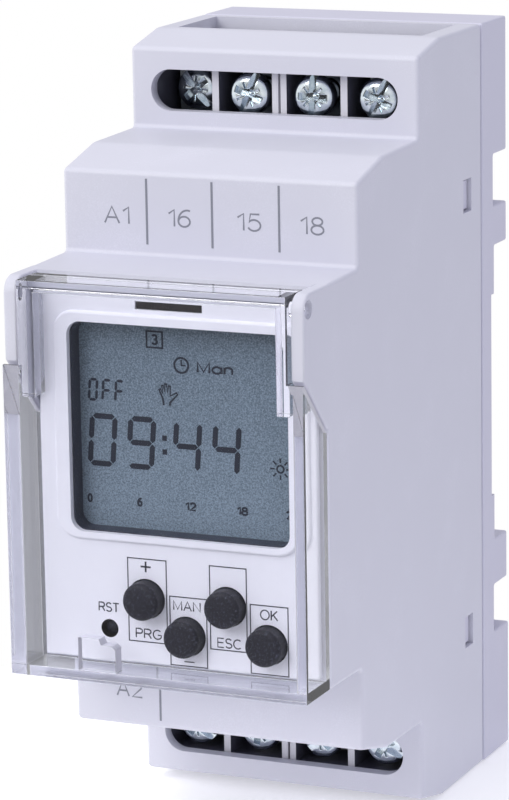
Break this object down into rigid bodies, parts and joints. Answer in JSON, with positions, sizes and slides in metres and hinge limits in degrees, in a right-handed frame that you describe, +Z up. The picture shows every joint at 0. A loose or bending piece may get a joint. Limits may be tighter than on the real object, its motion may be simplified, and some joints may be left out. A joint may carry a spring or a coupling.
{
  "type": "din rail digital time switch",
  "caption": "Two-module rail-mounted digital time switch with clear hinged cover, display, push keys, screw terminals and a sprung rail clip.",
  "frame": {"origin": "middle of the rear seat that bears on the front of the 35 mm mounting rail", "axes": "+X to the right seen from the front, +Y from the front cover back into the rail, +Z up"},
  "size_m": [0.0356, 0.064, 0.09],
  "materials": {
    "housing": "fine moulded texture, light lavender grey",
    "base": "fine moulded texture, light lavender grey",
    "clip": "smooth moulded grey",
    "spring_wire": "drawn wire",
    "panel": "satin with dark printed frames and words",
    "clear_cover": "clear polished polycarbonate",
    "key_rubber": "matt black silicone",
    "switch_body": "moulded black",
    "display": "grey green reflective display with dark segments",
    "inner_plastic": "smooth moulded light grey",
    "contact_strip": "layered conductive rubber",
    "circuit_board": "green solder mask",
    "component_black": "moulded black",
    "cell_steel": "satin steel can",
    "relay_case": "moulded blue",
    "film_capacitor": "glossy yellow case",
    "varistor_disc": "dipped blue epoxy",
    "plated_steel": "zinc plated",
    "screw_zinc": "bright zinc plated"
  },
  "bodies": {
    "body": {"front_housing": "housing", "rear_base": "base", "clip_spring": "spring_wire", "front_panel": "panel", "switch_prg": "switch_body", "switch_man": "switch_body", "switch_esc": "switch_body", "switch_ok": "switch_body", "switch_reset": "switch_body", "lcd_glass": "display", "lcd_frame": "inner_plastic", "contact_strip_upper": "contact_strip", "contact_strip_lower": "contact_strip", "display_board": "circuit_board", "microcontroller": "component_black", "cell_holder": "component_black", "backup_cell": "cell_steel", "power_board": "circuit_board", "riser_board": "circuit_board", "relay": "relay_case", "film_capacitor": "film_capacitor", "smoothing_capacitor": "component_black", "varistor": "varistor_disc", "terminal_block_upper_left": "inner_plastic", "terminal_block_upper_right": "inner_plastic", "terminal_frame_upper_1": "plated_steel", "terminal_frame_upper_2": "plated_steel", "terminal_frame_upper_3": "plated_steel", "terminal_frame_upper_4": "plated_steel", "terminal_block_lower_left": "inner_plastic", "terminal_block_lower_right": "inner_plastic", "terminal_frame_lower_1": "plated_steel", "terminal_frame_lower_2": "plated_steel", "terminal_frame_lower_3": "plated_steel", "terminal_frame_lower_4": "plated_steel"},
    "cover": {"clear_cover": "clear_cover"},
    "clip": {"din_clip": "clip"},
    "key_prg": {"button_prg": "key_rubber"},
    "key_man": {"button_man": "key_rubber"},
    "key_esc": {"button_esc": "key_rubber"},
    "key_ok": {"button_ok": "key_rubber"},
    "key_reset": {"button_reset": "key_rubber"},
    "clamp_upper_1": {"clamp_plate_upper_1": "plated_steel"},
    "screw_upper_1": {"terminal_screw_upper_1": "screw_zinc"},
    "clamp_upper_2": {"clamp_plate_upper_2": "plated_steel"},
    "screw_upper_2": {"terminal_screw_upper_2": "screw_zinc"},
    "clamp_upper_3": {"clamp_plate_upper_3": "plated_steel"},
    "screw_upper_3": {"terminal_screw_upper_3": "screw_zinc"},
    "clamp_upper_4": {"clamp_plate_upper_4": "plated_steel"},
    "screw_upper_4": {"terminal_screw_upper_4": "screw_zinc"},
    "clamp_lower_1": {"clamp_plate_lower_1": "plated_steel"},
    "screw_lower_1": {"terminal_screw_lower_1": "screw_zinc"},
    "clamp_lower_2": {"clamp_plate_lower_2": "plated_steel"},
    "screw_lower_2": {"terminal_screw_lower_2": "screw_zinc"},
    "clamp_lower_3": {"clamp_plate_lower_3": "plated_steel"},
    "screw_lower_3": {"terminal_screw_lower_3": "screw_zinc"},
    "clamp_lower_4": {"clamp_plate_lower_4": "plated_steel"},
    "screw_lower_4": {"terminal_screw_lower_4": "screw_zinc"}
  },
  "joints": [
    {"name": "cover_hinge", "type": "hinge", "parent": "body", "child": "cover", "pos_m": [0, -0.0575, 0.0208], "axis": [-1, 0, 0], "range_deg": [0, 120]},
    {"name": "clip_slide", "type": "slide", "parent": "body", "child": "clip", "axis": [0, 0, -1], "range_m": [0, 0.004], "stiffness_N_per_m": 800, "springref_m": -0.004, "deforming": ["clip_spring"]},
    {"name": "prg_press", "type": "slide", "parent": "body", "child": "key_prg", "axis": [0, 1, 0], "range_m": [0, 0.0005], "stiffness_N_per_m": 1500, "springref_m": -0.0004},
    {"name": "man_press", "type": "slide", "parent": "body", "child": "key_man", "axis": [0, 1, 0], "range_m": [0, 0.0005], "stiffness_N_per_m": 1500, "springref_m": -0.0004},
    {"name": "esc_press", "type": "slide", "parent": "body", "child": "key_esc", "axis": [0, 1, 0], "range_m": [0, 0.0005], "stiffness_N_per_m": 1500, "springref_m": -0.0004},
    {"name": "ok_press", "type": "slide", "parent": "body", "child": "key_ok", "axis": [0, 1, 0], "range_m": [0, 0.0005], "stiffness_N_per_m": 1500, "springref_m": -0.0004},
    {"name": "reset_press", "type": "slide", "parent": "body", "child": "key_reset", "axis": [0, 1, 0], "range_m": [0, 0.0005], "stiffness_N_per_m": 1500, "springref_m": -0.0004},
    {"name": "clamp_travel_upper_1", "type": "slide", "parent": "body", "child": "clamp_upper_1", "axis": [0, 1, 0], "range_m": [-0.003, 0]},
    {"name": "screw_turn_upper_1", "type": "hinge", "parent": "clamp_upper_1", "child": "screw_upper_1", "pos_m": [-0.012, -0.0198, 0.0382], "axis": [0, 1, 0], "range_deg": [-2160, 0]},
    {"name": "clamp_travel_upper_2", "type": "slide", "parent": "body", "child": "clamp_upper_2", "axis": [0, 1, 0], "range_m": [0, 0.003]},
    {"name": "screw_turn_upper_2", "type": "hinge", "parent": "clamp_upper_2", "child": "screw_upper_2", "pos_m": [-0.004, -0.0228, 0.0382], "axis": [0, 1, 0], "range_deg": [0, 2160]},
    {"name": "clamp_travel_upper_3", "type": "slide", "parent": "body", "child": "clamp_upper_3", "axis": [0, 1, 0], "range_m": [0, 0.003]},
    {"name": "screw_turn_upper_3", "type": "hinge", "parent": "clamp_upper_3", "child": "screw_upper_3", "pos_m": [0.004, -0.0228, 0.0382], "axis": [0, 1, 0], "range_deg": [0, 2160]},
    {"name": "clamp_travel_upper_4", "type": "slide", "parent": "body", "child": "clamp_upper_4", "axis": [0, 1, 0], "range_m": [0, 0.003]},
    {"name": "screw_turn_upper_4", "type": "hinge", "parent": "clamp_upper_4", "child": "screw_upper_4", "pos_m": [0.012, -0.0228, 0.0382], "axis": [0, 1, 0], "range_deg": [0, 2160]},
    {"name": "clamp_travel_lower_1", "type": "slide", "parent": "body", "child": "clamp_lower_1", "axis": [0, 1, 0], "range_m": [0, 0.003]},
    {"name": "screw_turn_lower_1", "type": "hinge", "parent": "clamp_lower_1", "child": "screw_lower_1", "pos_m": [-0.012, -0.0228, -0.0382], "axis": [0, 1, 0], "range_deg": [0, 2160]},
    {"name": "clamp_travel_lower_2", "type": "slide", "parent": "body", "child": "clamp_lower_2", "axis": [0, 1, 0], "range_m": [0, 0.003]},
    {"name": "screw_turn_lower_2", "type": "hinge", "parent": "clamp_lower_2", "child": "screw_lower_2", "pos_m": [-0.004, -0.0228, -0.0382], "axis": [0, 1, 0], "range_deg": [0, 2160]},
    {"name": "clamp_travel_lower_3", "type": "slide", "parent": "body", "child": "clamp_lower_3", "axis": [0, 1, 0], "range_m": [0, 0.003]},
    {"name": "screw_turn_lower_3", "type": "hinge", "parent": "clamp_lower_3", "child": "screw_lower_3", "pos_m": [0.004, -0.0228, -0.0382], "axis": [0, 1, 0], "range_deg": [0, 2160]},
    {"name": "clamp_travel_lower_4", "type": "slide", "parent": "body", "child": "clamp_lower_4", "axis": [0, 1, 0], "range_m": [0, 0.003]},
    {"name": "screw_turn_lower_4", "type": "hinge", "parent": "clamp_lower_4", "child": "screw_lower_4", "pos_m": [0.012, -0.0228, -0.0382], "axis": [0, 1, 0], "range_deg": [0, 2160]}
  ],
  "couplings": [
    {"joint": "screw_turn_upper_1", "follows": "clamp_travel_upper_1", "rad_per_m": 12566},
    {"joint": "screw_turn_upper_2", "follows": "clamp_travel_upper_2", "rad_per_m": 12566},
    {"joint": "screw_turn_upper_3", "follows": "clamp_travel_upper_3", "rad_per_m": 12566},
    {"joint": "screw_turn_upper_4", "follows": "clamp_travel_upper_4", "rad_per_m": 12566},
    {"joint": "screw_turn_lower_1", "follows": "clamp_travel_lower_1", "rad_per_m": 12566},
    {"joint": "screw_turn_lower_2", "follows": "clamp_travel_lower_2", "rad_per_m": 12566},
    {"joint": "screw_turn_lower_3", "follows": "clamp_travel_lower_3", "rad_per_m": 12566},
    {"joint": "screw_turn_lower_4", "follows": "clamp_travel_lower_4", "rad_per_m": 12566}
  ]
}
